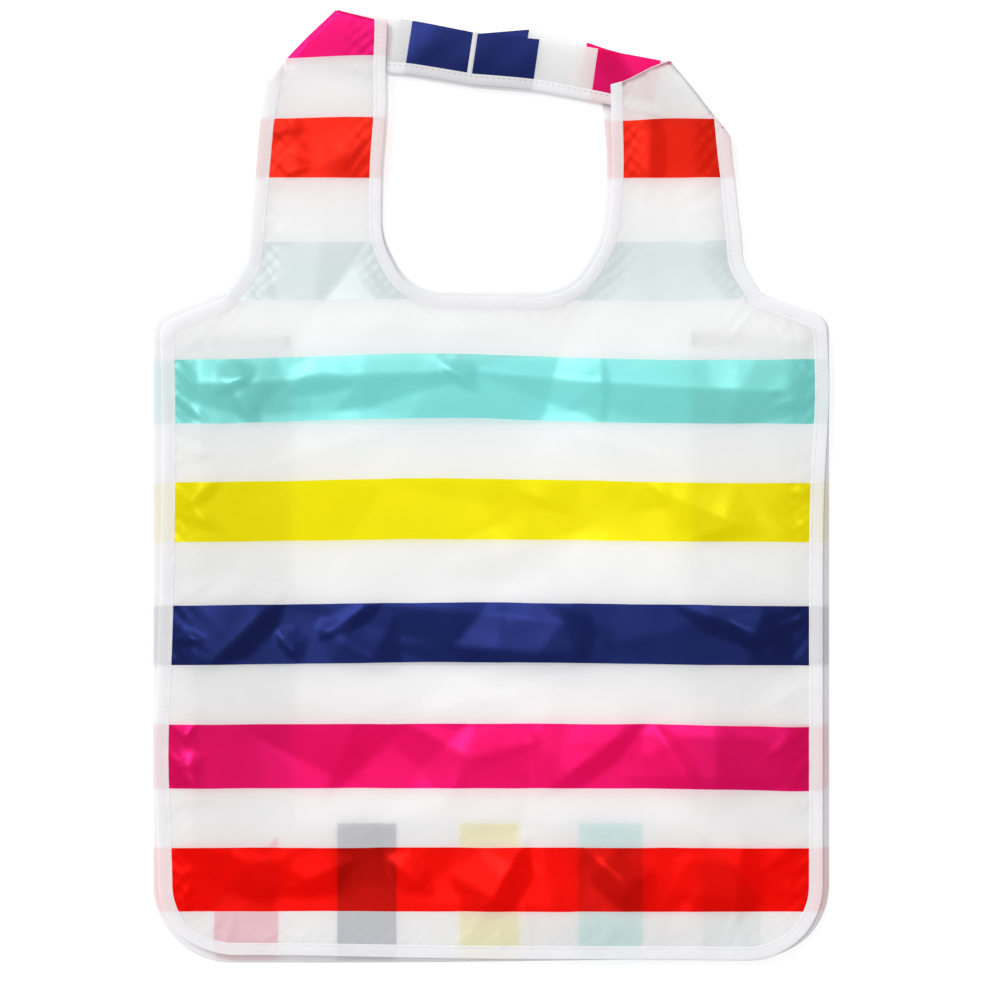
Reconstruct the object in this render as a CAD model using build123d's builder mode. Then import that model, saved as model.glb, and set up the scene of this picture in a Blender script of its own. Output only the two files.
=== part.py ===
"""Foldable shopping tote, laid flat: striped cloth panels, a folded gusset strip, bound edges, two handles.

The frame: X runs across the bag, Y runs from the bottom fold to the handles, Z is up from the table.
The bag lies on its back panel. Everything is in millimetres.
"""

from build123d import *
import math
import os

os.makedirs("parts", exist_ok=True)

# ---- cloth and tape -------------------------------------------------------------------------
cloth = 0.4  # thickness that stands for one layer of cloth
tape = 0.25  # thickness that stands for one layer of binding tape
binding_width = 8.0  # how far the tape covers the cloth from its edge
lay_gap = 0.3  # air between pieces that only lie on each other
fold_gap = 0.1  # air between the folded grip and the strap that lies on it
layer_spread = 5.6  # height of the front panel above the back panel with the bag laid flat

# ---- panels ---------------------------------------------------------------------------------
panel_width = 398.0
back_overhang = 4.0  # the back panel lies this much wider at each side
panel_height = 398.0  # bottom fold to the line where the straps begin
bottom_corner_radius = 46.0
shoulder_drop = 15.0  # the shoulder falls this much from the straps to the side seam
shoulder_radius = 12.0
shoulder_run = 39.0  # side seam to the foot of the strap, across
shoulder_half = panel_width / 2 - shoulder_run

# ---- gusset strip ---------------------------------------------------------------------------
gusset_depth = 70.0  # seam to crease, half the width of the unfolded strip
gusset_drop = 8.0  # the gusset's hem lies this far below the corner of the shoulder
hem_width = 8.0
hem_extra = 0.12  # the hem is thicker than the cloth by this on each face
mitre_gap = 0.8  # between the side strips and the bottom strip at the corner folds

# ---- handles --------------------------------------------------------------------------------
strap_width = 74.0
strap_inset = 59.0  # side seam to the outer edge of the strap, across
mouth_half = panel_width / 2 - strap_inset - strap_width
mouth_corner_run = 18.0  # the rounded corner of the mouth, across
mouth_corner_rise = 34.0  # and up
mouth_corner_radius = 30.0
strap_flare = 6.0  # the strap widens by this where it leaves the shoulder
strap_flare_rise = 20.0
strap_flare_radius = 24.0
fold_run = 43.0  # the diagonal fold at the top of a strap, across
fold_drop = 47.0  # and down
fold_slope = 10.0  # the inner half of a strap folds back over an edge that falls by this
front_left_rise = 173.0  # fold of the strap above the line where the straps begin
front_right_rise = 143.0
back_left_rise = 170.0
back_right_rise = 147.0
back_handle_shift = 4.0  # the back straps begin this much higher than the front ones
grip_width = 34.0  # the strap folded in half
grip_layer_gap = 0.3  # air between the two halves of the folded grip
grip_seam_share = 0.44  # where the centre seam crosses the grip, as a share from left to right
grip_seam_width = 7.0

# ---- levels ---------------------------------------------------------------------------------
back_z = tape
front_z = back_z + layer_spread
full_height = front_z + cloth + tape
middle_z = full_height / 2
grip_thickness = 2 * cloth + grip_layer_gap
front_grip_z = front_z - tape - fold_gap - grip_thickness
gusset_low_z = back_z + cloth + tape + lay_gap


def mirrored_z(low, thickness):
    """The lowest level of a layer of the back half that matches one of the front half."""
    return full_height - low - thickness


# ---- outlines -------------------------------------------------------------------------------
def panel_outline(half_width, top):
    """The body of a panel: rounded bottom corners, straight sides, sloping shoulders."""
    corner_y = top - shoulder_drop
    with BuildSketch() as outline:
        with BuildLine():
            Polyline(
                (-half_width, 0), (half_width, 0), (half_width, corner_y),
                (shoulder_half, top), (-shoulder_half, top), (-half_width, corner_y),
                close=True,
            )
        make_face()
        corners = outline.vertices().group_by(Axis.Y)
        fillet(corners[0], bottom_corner_radius)
        fillet(outline.vertices().group_by(Axis.Y)[-2], shoulder_radius)
    return outline.sketch


def panel_edge(half_width, top, z):
    """The bound edge of a panel, with the cloth at its left: shoulder, side, bottom, side, shoulder."""
    corner_y = top - shoulder_drop
    with BuildLine(Plane.XY.offset(z)) as edge:
        FilletPolyline(
            (-shoulder_half, top), (-half_width, corner_y), (-half_width, 0),
            (half_width, 0), (half_width, corner_y), (shoulder_half, top),
            radius=(shoulder_radius, bottom_corner_radius, bottom_corner_radius, shoulder_radius),
        )
    return edge.line


def strap_points(side, base, rise):
    """Corners of a strap: outer base, flare, outer fold, apex, inner fold, mouth side, mouth base."""
    outer = mouth_half + strap_width
    apex = base + rise
    start = base + lay_gap
    return [
        (side * shoulder_half, start),
        (side * (outer + strap_flare), base + strap_flare_rise),
        (side * outer, apex - fold_drop),
        (side * (outer - fold_run), apex),
        (side * mouth_half, apex - fold_slope),
        (side * mouth_half, base + mouth_corner_rise),
        (side * (mouth_half - mouth_corner_run), start),
    ]


def strap_outline(side, base, rise):
    """One strap, from its base line to the folds at its top."""
    points = strap_points(side, base, rise)
    with BuildSketch() as outline:
        with BuildLine():
            Polyline(*points, close=True)
        make_face()
        flare, corner = Vector(*points[1]), Vector(*points[5])
        fillet(outline.vertices().sort_by_distance(flare)[0], strap_flare_radius)
        fillet(outline.vertices().sort_by_distance(corner)[0], mouth_corner_radius)
    return outline.sketch


def lengthened(start, towards):
    """The start of an edge moved back along it, so that its tape can be cut square at the base."""
    start, towards = Vector(*start), Vector(*towards)
    back = start - (towards - start).normalized() * 2 * binding_width
    return (back.X, back.Y)


def strap_outer_edge(side, base, rise, z):
    """The bound outer edge of a strap, from below its base up to its diagonal fold."""
    start, flare, fold = strap_points(side, base, rise)[:3]
    with BuildLine(Plane.XY.offset(z)) as edge:
        FilletPolyline(lengthened(start, flare), flare, fold, radius=strap_flare_radius)
    return edge.line


def strap_inner_edge(side, base, rise, z):
    """The bound inner edge of a strap, from below the mouth up to its upper fold."""
    fold, corner, start = strap_points(side, base, rise)[4:]
    with BuildLine(Plane.XY.offset(z)) as edge:
        FilletPolyline(lengthened(start, corner), corner, fold, radius=mouth_corner_radius)
    return edge.line


class Grip:
    """Places on the folded grip that joins the two straps of one handle."""

    def __init__(self, base, left_rise, right_rise):
        reach = mouth_half + strap_width - fold_run
        self.left = Vector(-reach, base + left_rise)
        self.right = Vector(reach, base + right_rise)
        self.along = (self.right - self.left).normalized()
        self.down = Vector(self.along.Y, -self.along.X)
        self.left_end = self.on_diagonal(self.left, Vector(-fold_run, -fold_drop))
        self.right_end = self.on_diagonal(self.right, Vector(fold_run, -fold_drop))
        self.seam_top = self.left + (self.right - self.left) * grip_seam_share
        self.seam_foot = self.seam_top + self.down * grip_width

    def on_diagonal(self, apex, diagonal):
        """Where the lower edge of the grip meets the diagonal fold below an apex."""
        return apex + diagonal * (grip_width / abs(diagonal.dot(self.down)))

    def at(self, along, down):
        """A point this far from the seam along the grip and this far below its crease."""
        return self.seam_top + self.along * along + self.down * down


def grip_half(grip, side, z):
    """Half of the grip: two layers joined by the crease along the upper edge."""
    apex, end = (grip.left, grip.left_end) if side < 0 else (grip.right, grip.right_end)
    lip = grip.down * cloth
    with BuildPart() as half:
        for level in (z, z + cloth + grip_layer_gap):
            with BuildSketch(Plane.XY.offset(level)):
                with BuildLine():
                    Polyline(apex, grip.seam_top, grip.seam_foot, end, close=True)
                make_face()
            extrude(amount=cloth)
        with BuildSketch(Plane.XY.offset(z)):
            with BuildLine():
                Polyline(apex, grip.seam_top, grip.seam_top + lip, apex + lip, close=True)
            make_face()
        extrude(amount=grip_thickness)
    return half.part


def binding(edge, inwards, base=None):
    """Tape folded round an edge of a cloth layer: two legs and a wall, swept along the edge.

    The edge runs at the level of the cloth's underside. inwards is 1 with the cloth at the left of the
    edge and -1 with the cloth at its right. With a base, what lies below that line is cut away.
    """
    along = edge % 0
    left = Vector(0, 0, 1).cross(along)
    section = [
        (-tape, -tape), (binding_width, -tape), (binding_width, 0), (0, 0),
        (0, cloth), (binding_width, cloth), (binding_width, cloth + tape), (-tape, cloth + tape),
    ]
    with BuildPart() as folded_tape:
        with BuildSketch(Plane(origin=edge @ 0, x_dir=left, z_dir=along)):
            with BuildLine():
                Polyline(*[(inwards * x, z) for x, z in section], close=True)
            make_face()
        sweep(path=edge)
        if base is not None:
            split(bisect_by=Plane.XZ.offset(-base - lay_gap), keep=Keep.BOTTOM)
    return folded_tape.part


def sheet(outline, z):
    """One layer of cloth whose underside lies at z."""
    with BuildPart() as layer:
        with BuildSketch(Plane.XY.offset(z)):
            add(outline)
        extrude(amount=cloth)
    return layer.part


def save(piece, name):
    """Labels a piece and writes it."""
    piece.label = name
    export_step(piece, f"parts/{name}.step")


# ---- panels and their bindings --------------------------------------------------------------
front_half = panel_width / 2
back_half = front_half + back_overhang
back_height = panel_height + back_handle_shift
mouth_edge_half = mouth_half - mouth_corner_run - lay_gap

for name, half_width, top, z in (
    ("front", front_half, panel_height, front_z),
    ("back", back_half, back_height, back_z),
):
    outline = panel_outline(half_width, top)
    save(sheet(outline, z), f"{name}_panel")
    save(binding(panel_edge(half_width, top, z), 1), f"{name}_seam_binding")
    with BuildLine(Plane.XY.offset(z)) as mouth_edge:
        Line((mouth_edge_half, top), (-mouth_edge_half, top))
    save(binding(mouth_edge.line, 1), f"{name}_mouth_binding")

# ---- gusset strip ---------------------------------------------------------------------------
seam_half = front_half - binding_width - lay_gap
seam_bottom = binding_width + lay_gap
hem_top = panel_height - shoulder_drop - gusset_drop
gusset_high_z = mirrored_z(gusset_low_z, 0)
leaf_rise = middle_z - gusset_low_z
crease_thickness = cloth * gusset_depth / leaf_rise


def fold_section(extra):
    """The folded strip seen along its seam: two leaves that meet in a crease, seam at the left."""
    tip = gusset_depth + extra
    inner = gusset_depth - crease_thickness - extra
    return [
        (0, gusset_low_z - extra), (tip, middle_z), (0, gusset_high_z + extra),
        (0, gusset_high_z - cloth - extra), (inner, middle_z), (0, gusset_low_z + cloth + extra),
    ]


def side_strip(side, low, high, extra):
    """A length of the side gusset, with its seam outwards and its crease towards the middle."""
    with BuildPart() as strip:
        with BuildSketch(Plane.XZ.offset(-high)):
            with BuildLine():
                Polyline(*[(side * (seam_half - x), z) for x, z in fold_section(extra)], close=True)
            make_face()
        extrude(amount=high - low)
    return strip.part


def bottom_strip():
    """The bottom gusset, over the whole width between the side seams."""
    with BuildPart() as strip:
        with BuildSketch(Plane.YZ.offset(-seam_half)):
            with BuildLine():
                Polyline(*[(seam_bottom + y, z) for y, z in fold_section(0)], close=True)
            make_face()
        extrude(amount=2 * seam_half)
    return strip.part


def mitred(strip, corners):
    """A strip kept inside one plan outline, where the corner folds separate it from its neighbours."""
    with BuildPart() as kept:
        add(strip)
        with BuildSketch():
            with BuildLine():
                Polyline(*corners, close=True)
            make_face()
        extrude(amount=full_height, mode=Mode.INTERSECT)
    return kept.part


def inside_seams(strip):
    """A strip kept inside the stitch line of the front panel, which rounds the bottom corners."""
    with BuildPart() as kept:
        add(strip)
        with BuildSketch():
            with Locations((0, seam_bottom + hem_top / 2)):
                RectangleRounded(2 * seam_half, hem_top, bottom_corner_radius - seam_bottom)
        extrude(amount=full_height, mode=Mode.INTERSECT)
    return kept.part


mitre = mitre_gap / math.sqrt(2)
reach = gusset_depth + binding_width
for name, side in (("left", -1), ("right", 1)):
    whole = inside_seams(side_strip(side, seam_bottom, hem_top - hem_width, 0))
    corner = (side * seam_half, seam_bottom + mitre)
    plan = [
        corner,
        (side * (seam_half - reach), seam_bottom + mitre + reach),
        (side * (seam_half - reach), hem_top),
        (side * (seam_half + reach), hem_top),
        (side * (seam_half + reach), seam_bottom + mitre),
    ]
    save(mitred(whole, plan), f"gusset_{name}")
    save(side_strip(side, hem_top - hem_width, hem_top, hem_extra), f"gusset_{name}_hem")

bottom_plan = [
    (-seam_half + mitre, seam_bottom - reach),
    (-seam_half + mitre, seam_bottom),
    (-seam_half + mitre + reach, seam_bottom + reach),
    (seam_half - mitre - reach, seam_bottom + reach),
    (seam_half - mitre, seam_bottom),
    (seam_half - mitre, seam_bottom - reach),
]
save(mitred(inside_seams(bottom_strip()), bottom_plan), "gusset_bottom")

# ---- handles --------------------------------------------------------------------------------
handles = (
    ("front", panel_height, front_left_rise, front_right_rise, front_z, front_grip_z),
    ("back", back_height, back_left_rise, back_right_rise, back_z,
     mirrored_z(front_grip_z, grip_thickness)),
)
for name, base, left_rise, right_rise, z, grip_z in handles:
    for end, side, rise in (("left", -1, left_rise), ("right", 1, right_rise)):
        outer, inner = strap_outer_edge(side, base, rise, z), strap_inner_edge(side, base, rise, z)
        save(sheet(strap_outline(side, base, rise), z), f"{name}_strap_{end}")
        save(binding(outer, side, base), f"{name}_strap_{end}_outer_binding")
        save(binding(inner, -side, base), f"{name}_strap_{end}_inner_binding")
    grip = Grip(base, left_rise, right_rise)
    save(grip_half(grip, -1, grip_z), f"{name}_grip_left")
    save(grip_half(grip, 1, grip_z), f"{name}_grip_right")

    # tape round the two open edges of the grip, between the straps
    run_left = (mouth_half - binding_width + grip.seam_foot.X) / grip.along.X
    run_right = (mouth_half - binding_width - grip.seam_foot.X) / grip.along.X
    with BuildPart() as grip_binding:
        for level in (grip_z - tape, grip_z + grip_thickness):
            with BuildSketch(Plane.XY.offset(level)):
                with BuildLine():
                    Polyline(
                        grip.at(-run_left, grip_width), grip.at(run_right, grip_width),
                        grip.at(run_right, grip_width - binding_width),
                        grip.at(-run_left, grip_width - binding_width),
                        close=True,
                    )
                make_face()
            extrude(amount=tape)
        with BuildSketch(Plane.XY.offset(grip_z - tape)):
            with BuildLine():
                Polyline(
                    grip.at(-run_left, grip_width), grip.at(run_right, grip_width),
                    grip.at(run_right, grip_width + tape), grip.at(-run_left, grip_width + tape),
                    close=True,
                )
            make_face()
        extrude(amount=grip_thickness + 2 * tape)
    save(grip_binding.part, f"{name}_grip_binding")

    # the flat seam that joins the two halves of the grip, on both of its faces
    seam_end = grip_width - binding_width - lay_gap
    with BuildPart() as grip_seam:
        for level in (grip_z - tape, grip_z + grip_thickness):
            with BuildSketch(Plane.XY.offset(level)):
                with BuildLine():
                    Polyline(
                        grip.at(-grip_seam_width / 2, lay_gap), grip.at(grip_seam_width / 2, lay_gap),
                        grip.at(grip_seam_width / 2, seam_end), grip.at(-grip_seam_width / 2, seam_end),
                        close=True,
                    )
                make_face()
            extrude(amount=tape)
    save(grip_seam.part, f"{name}_grip_seam")
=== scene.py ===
"""A foldable striped shopping tote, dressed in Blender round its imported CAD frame.

Two panels of thin printed taffeta with their straps, a folded gusset strip between them, white
tape bound round every edge, and a folded grip on each handle. Lengths are in millimetres and
become metres only when a mesh is made.
"""

import logging
import math
from dataclasses import dataclass, field
from enum import Enum
from typing import Iterable, Sequence

import bpy
import numpy as np
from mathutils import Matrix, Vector
from mathutils.geometry import delaunay_2d_cdt

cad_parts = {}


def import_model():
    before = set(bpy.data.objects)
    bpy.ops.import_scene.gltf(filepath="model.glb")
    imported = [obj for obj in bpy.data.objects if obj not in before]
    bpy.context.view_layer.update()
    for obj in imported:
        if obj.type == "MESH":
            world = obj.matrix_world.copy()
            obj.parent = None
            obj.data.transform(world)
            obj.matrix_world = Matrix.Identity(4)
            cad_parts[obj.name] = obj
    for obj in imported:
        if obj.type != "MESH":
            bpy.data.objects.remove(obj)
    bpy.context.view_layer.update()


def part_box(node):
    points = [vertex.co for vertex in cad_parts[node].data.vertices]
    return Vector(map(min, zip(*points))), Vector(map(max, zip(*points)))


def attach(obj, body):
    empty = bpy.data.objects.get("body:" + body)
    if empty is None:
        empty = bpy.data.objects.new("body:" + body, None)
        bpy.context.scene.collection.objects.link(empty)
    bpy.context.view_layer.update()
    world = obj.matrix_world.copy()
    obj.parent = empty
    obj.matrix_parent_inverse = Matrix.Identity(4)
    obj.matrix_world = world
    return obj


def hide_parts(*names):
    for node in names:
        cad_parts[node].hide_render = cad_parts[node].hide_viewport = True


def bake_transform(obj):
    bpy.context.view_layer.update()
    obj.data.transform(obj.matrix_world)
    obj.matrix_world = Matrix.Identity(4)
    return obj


MM = 0.001
MITRE_RISE = 4.5  # how far over the bottom crease the mitres end, in millimetres
log = logging.getLogger("tote")

Points = np.ndarray
Faces = list[tuple[int, ...]]
Piece = bpy.types.Object
Material = bpy.types.Material
Socket = bpy.types.NodeSocket
Pair = tuple[float, float]


# ---- small geometry -------------------------------------------------------------------------
def ramp(value: Points, low: float, high: float) -> Points:
    """A smooth step from 0 at low to 1 at high."""
    t = np.clip((value - low) / (high - low), 0.0, 1.0)
    return t * t * (3.0 - 2.0 * t)


def smooth_max(first: Points, second: Points, soft: float) -> Points:
    """The larger of two values, rounded over where they are within soft of each other."""
    return (first + second + np.sqrt((first - second) ** 2 + soft * soft)) / 2


def rounded(corners: Sequence[tuple[float, float, float]], closed: bool, step: float) -> Points:
    """A polyline with rounded corners, sampled evenly.

    Args:
        corners: x, y and radius of each corner.
        closed: whether the last corner joins the first.
        step: the longest distance between two points.

    Returns:
        The points, one row each; a closed line doesn't repeat its first point.
    """
    count = len(corners)
    points: list[Points] = []
    for i, (x, y, radius) in enumerate(corners):
        here = np.array((x, y))
        if radius <= 0 or (not closed and i in (0, count - 1)):
            points.append(here)
            continue
        before = np.array(corners[i - 1][:2]) - here
        after = np.array(corners[(i + 1) % count][:2]) - here
        before, after = before / np.linalg.norm(before), after / np.linalg.norm(after)
        half_angle = math.acos(float(np.clip(before @ after, -1, 1))) / 2
        bisector = (before + after) / np.linalg.norm(before + after)
        centre = here + bisector * radius / math.sin(half_angle)
        start = here + before * radius / math.tan(half_angle)
        end = here + after * radius / math.tan(half_angle)
        sweep = math.pi - 2 * half_angle
        steps = max(3, math.ceil(radius * sweep / step))
        first, last = start - centre, end - centre
        turn = math.copysign(sweep, first[0] * last[1] - first[1] * last[0])
        for k in range(steps + 1):
            a = turn * k / steps
            points.append(centre + np.array((
                first[0] * math.cos(a) - first[1] * math.sin(a),
                first[0] * math.sin(a) + first[1] * math.cos(a),
            )))
    line = np.array(points)
    return even(np.vstack([line, line[:1]]), step)[:-1] if closed else even(line, step)


def even(line: Points, step: float) -> Points:
    """A polyline with extra points, so that none of its runs is longer than step. Corners stay."""
    parts = []
    for a, b in zip(line[:-1], line[1:]):
        length = float(np.linalg.norm(b - a))
        if length < 1e-6:
            continue
        pieces = max(1, math.ceil(length / step - 1e-6))
        parts.append(a + (b - a) * (np.arange(pieces) / pieces)[:, None])
    return np.vstack([*parts, line[-1:]])


def along(line: Points) -> Points:
    """Distance along a polyline at each of its points."""
    return np.concatenate([[0.0], np.cumsum(np.linalg.norm(np.diff(line, axis=0), axis=1))])


def sampled(line: Points, places: Points) -> Points:
    """Points at the given distances along a polyline."""
    run = along(line)
    return np.stack([np.interp(places, run, line[:, k]) for k in range(line.shape[1])], axis=1)


def left_of(line: Points) -> Points:
    """Unit normals to the left of a plane polyline, one for each of its points."""
    tangent = np.gradient(line, axis=0)
    tangent /= np.linalg.norm(tangent, axis=1)[:, None]
    return np.stack([-tangent[:, 1], tangent[:, 0]], axis=1)


def distance_to(line: Points, points: Points) -> Points:
    """Distance from each point to a polyline."""
    best = np.full(len(points), np.inf)
    for a, b in zip(line[:-1], line[1:]):
        run = b - a
        x, y = points[:, 0] - a[0], points[:, 1] - a[1]
        t = np.minimum(np.maximum((x * run[0] + y * run[1]) / max(run @ run, 1e-12), 0), 1)
        best = np.minimum(best, (x - t * run[0]) ** 2 + (y - t * run[1]) ** 2)
    return np.sqrt(best)


def inside(outline: Points, points: Points) -> Points:
    """Whether each point lies inside a closed outline."""
    hit = np.zeros(len(points), bool)
    for (ax, ay), (bx, by) in zip(outline, np.roll(outline, -1, axis=0)):
        crosses = (ay > points[:, 1]) != (by > points[:, 1])
        with np.errstate(divide="ignore", invalid="ignore"):
            at = (bx - ax) * (points[:, 1] - ay) / (by - ay) + ax
        hit ^= crosses & (points[:, 0] < at)
    return hit


def cut_cloth(outline: Points, spacing: float) -> tuple[Points, Faces]:
    """Fills an outline with even triangles.

    Args:
        outline: the closed outline, counter-clockwise.
        spacing: distance between neighbouring points inside.

    Returns:
        The points, the outline's first and in order, and the triangles.
    """
    low, high = outline.min(0), outline.max(0)
    row = spacing * math.sqrt(3) / 2
    rows = []
    for k, y in enumerate(np.arange(low[1] + row / 2, high[1], row)):
        x = np.arange(low[0] + spacing * (0.25 + 0.5 * (k % 2)), high[0], spacing)
        rows.append(np.stack([x, np.full_like(x, y)], axis=1))
    inner = np.vstack(rows)
    inner = inner[inside(outline, inner)]
    inner = inner[distance_to(np.vstack([outline, outline[:1]]), inner) > 0.62 * spacing]
    points = np.vstack([outline, inner])
    flat = [Vector(p) for p in points]
    _, _, faces, origin, _, _ = delaunay_2d_cdt(flat, [], [list(range(len(outline)))], 1, 1e-6)
    first = [o[0] if o else -1 for o in origin]
    if -1 in first:
        raise ValueError("the outline crosses itself")
    return points, [tuple(first[i] for i in face) for face in faces]


def halved(points: Points, faces: Faces) -> tuple[Points, Faces]:
    """Splits every triangle in four at the middles of its sides."""
    corner = np.array(faces)
    sides = np.sort(np.vstack([corner[:, [0, 1]], corner[:, [1, 2]], corner[:, [2, 0]]]), axis=1)
    unique, where = np.unique(sides, axis=0, return_inverse=True)
    ab, bc, ca = (where.ravel() + len(points)).reshape(3, -1)
    a, b, c = corner.T
    fine = np.vstack([np.stack(triangle, axis=1) for triangle in (
        (a, ab, ca), (ab, b, bc), (ca, bc, c), (ab, bc, ca))])
    return np.vstack([points, points[unique].mean(axis=1)]), [tuple(f) for f in fine.tolist()]


def grid_faces(rows: int, columns: int, flip: bool = False) -> Faces:
    """Quads of a grid whose points run along its rows."""
    quads = []
    for r in range(rows - 1):
        for c in range(columns - 1):
            a = r * columns + c
            quad = (a, a + 1, a + columns + 1, a + columns)
            quads.append(quad[::-1] if flip else quad)
    return quads


def make_piece(name: str, points: Points, faces: Faces, material: Material,
               print_at: Points | None = None) -> Piece:
    """Makes a smooth mesh piece at the origin.

    Args:
        name: the piece's name.
        points: its points in millimetres.
        faces: its faces.
        material: its finish.
        print_at: where each point lies on the printed cloth, in millimetres.

    Returns:
        The new object.
    """
    mesh = bpy.data.meshes.new(name)
    mesh.from_pydata((points * MM).tolist(), [], faces)
    mesh.shade_smooth()
    if print_at is not None:
        layer = mesh.uv_layers.new(name="print")
        corner = np.empty(len(mesh.loops), np.int32)
        mesh.loops.foreach_get("vertex_index", corner)
        layer.data.foreach_set("uv", (print_at[corner] * MM).astype(np.float32).ravel())
    mesh.materials.append(material)
    mesh.update()
    piece = bpy.data.objects.new(name, mesh)
    bpy.context.scene.collection.objects.link(piece)
    log.info("%s: %d points, %d faces", name, len(points), len(faces))
    return piece


def grid_piece(name: str, points: Points, print_at: Points, flip: bool,
               material: Material) -> Piece:
    """Makes a mesh piece of a grid of points.

    Args:
        name: the piece's name.
        points: the grid's rows of points.
        print_at: where each of them lies on the print.
        flip: whether the faces turn the other way.
        material: its finish.

    Returns:
        The new object.
    """
    rows, columns = points.shape[:2]
    return make_piece(name, points.reshape(-1, 3), grid_faces(rows, columns, flip), material,
                      print_at.reshape(-1, 2))


def strip_print(rows: Sequence[Points], across: Iterable[float]) -> Points:
    """Places on a tape: the distance along each row, and one place across for the whole row."""
    return np.stack([np.column_stack([along(row), np.full(len(row), float(at))])
                     for row, at in zip(rows, across)])


def line_frame(start: Points, end: Points) -> tuple[Points, Points, float]:
    """A line's direction, its normal on the upper side, and its length."""
    length = float(np.linalg.norm(end - start))
    run = (end - start) / length
    normal = np.array((run[1], -run[0]))
    return run, normal if normal[1] > 0 else -normal, length


# ---- colours and finishes -------------------------------------------------------------------
def linear(red: int, green: int, blue: int,
           alpha: float = 1.0) -> tuple[float, float, float, float]:
    """A display colour, 0 to 255 a channel, as scene-linear RGBA."""
    shares = [value / 255 for value in (red, green, blue)]
    return (*(c / 12.92 if c <= 0.04045 else ((c + 0.055) / 1.055) ** 2.4 for c in shares), alpha)


class Ink(Enum):
    """The printed colours: a display colour, and how much ink lies on the cloth as its alpha."""

    CLOTH = (252, 252, 252, 0.0)
    RED = (255, 16, 4, 0.8)
    MAGENTA = (244, 25, 133, 0.9)
    NAVY = (39, 53, 126, 1.0)
    YELLOW = (248, 241, 0, 0.35)
    AQUA = (162, 236, 233, 0.55)
    MINT = (235, 241, 241, 0.2)
    SCARLET = (236, 42, 16, 0.7)


@dataclass(frozen=True)
class StripePrint:
    """The order and pitch of the printed stripes, measured up the cloth from its bottom edge."""

    first: float = 30.0
    pitch: float = 73.0
    height: float = 36.8
    inks: tuple[Ink, ...] = (
        Ink.RED, Ink.MAGENTA, Ink.NAVY, Ink.YELLOW, Ink.AQUA, Ink.MINT,
        Ink.SCARLET, Ink.MAGENTA, Ink.NAVY,
    )
    reach: float = 700.0

    def stops(self) -> list[tuple[float, Ink]]:
        """Where each colour begins, as a share of the print's reach."""
        stops = [(0.0, Ink.CLOTH)]
        for k, ink in enumerate(self.inks):
            low = self.first + k * self.pitch
            stops.append((low / self.reach, ink))
            stops.append(((low + self.height) / self.reach, Ink.CLOTH))
        return stops


@dataclass(frozen=True)
class Grain:
    """The settings of a noise pattern."""

    scale: float
    detail: float
    roughness: float = 0.5


class NodeBoard:
    """The node tree of a material or a world, with short calls to add nodes."""

    def __init__(self, owner: Material | bpy.types.World) -> None:
        """Empties the owner's node tree."""
        owner.use_nodes = True
        self.owner, self.tree = owner, owner.node_tree
        self.tree.nodes.clear()

    def add(self, kind: str, inputs: dict[str | int, object] | None = None,
            **settings: object) -> bpy.types.Node:
        """Adds a node.

        Args:
            kind: its type.
            inputs: a socket or a value for each of its inputs that isn't left alone.
            settings: its properties.

        Returns:
            The node.
        """
        node = self.tree.nodes.new(kind)
        for key, value in settings.items():
            setattr(node, key, value)
        for key, value in (inputs or {}).items():
            if isinstance(value, Socket):
                self.tree.links.new(value, node.inputs[key])
            else:
                node.inputs[key].default_value = value
        return node

    def out(self, kind: str, inputs: dict[str | int, object] | None = None,
            **settings: object) -> Socket:
        """Adds a node and returns its first output."""
        return self.add(kind, inputs, **settings).outputs[0]

    def math(self, operation: str, first: object, second: object = 0.0) -> Socket:
        """Works out one sum on two sockets or numbers."""
        return self.out("ShaderNodeMath", {0: first, 1: second}, operation=operation)

    def noise(self, vector: Socket, grain: Grain) -> Socket:
        """A noise pattern on a vector."""
        return self.out("ShaderNodeTexNoise", {
            "Vector": vector, "Scale": grain.scale, "Detail": grain.detail,
            "Roughness": grain.roughness})

    def varied(self, vector: Socket, grain: Grain, middle: float, swing: float) -> Socket:
        """A value that a noise pattern moves evenly to both sides of its middle."""
        change = self.math("MULTIPLY", self.noise(vector, grain), swing)
        return self.math("ADD", change, middle - swing / 2)

    def wave(self, place: Socket, pitch: float) -> Socket:
        """A sine wave along a place in metres, with its pitch in millimetres."""
        return self.math("SINE", self.math("MULTIPLY", place, math.tau / (pitch * MM)))

    def bump(self, height: Socket, strength: float, distance: float) -> Socket:
        """The normal that a height gives, with its distance in millimetres."""
        return self.out("ShaderNodeBump", {
            "Strength": strength, "Distance": distance * MM, "Height": height})

    def print_place(self) -> tuple[Socket, ...]:
        """The place on the print, and its two coordinates, in metres of cloth."""
        place = self.out("ShaderNodeUVMap", uv_map="print")
        split = self.add("ShaderNodeSeparateXYZ", {0: place})
        return place, split.outputs["X"], split.outputs["Y"]

    def mix(self, share: object, first: Socket, second: Socket) -> Socket:
        """Mixes two shaders; the share is the second one's."""
        return self.out("ShaderNodeMixShader", {0: share, 1: first, 2: second})

    def thin(self, face: Socket, soft: dict[str, object], through: object,
             tint: dict[str, object], clear: float) -> Material:
        """Finishes a thin cloth.

        Args:
            face: the shader of its face.
            soft: inputs of the light that comes through it softly.
            through: the share of that light.
            tint: inputs of what is seen through it.
            clear: the share of it that is seen through.

        Returns:
            The material.
        """
        soft_light = self.out("ShaderNodeBsdfTranslucent", soft)
        seen = self.out("ShaderNodeBsdfTransparent", tint)
        return self.finish(self.mix(clear, self.mix(through, face, soft_light), seen))

    def finish(self, shader: Socket) -> Material:
        """Joins a shader to the output and returns the material."""
        self.add("ShaderNodeOutputMaterial", {"Surface": shader})
        return self.owner


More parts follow.
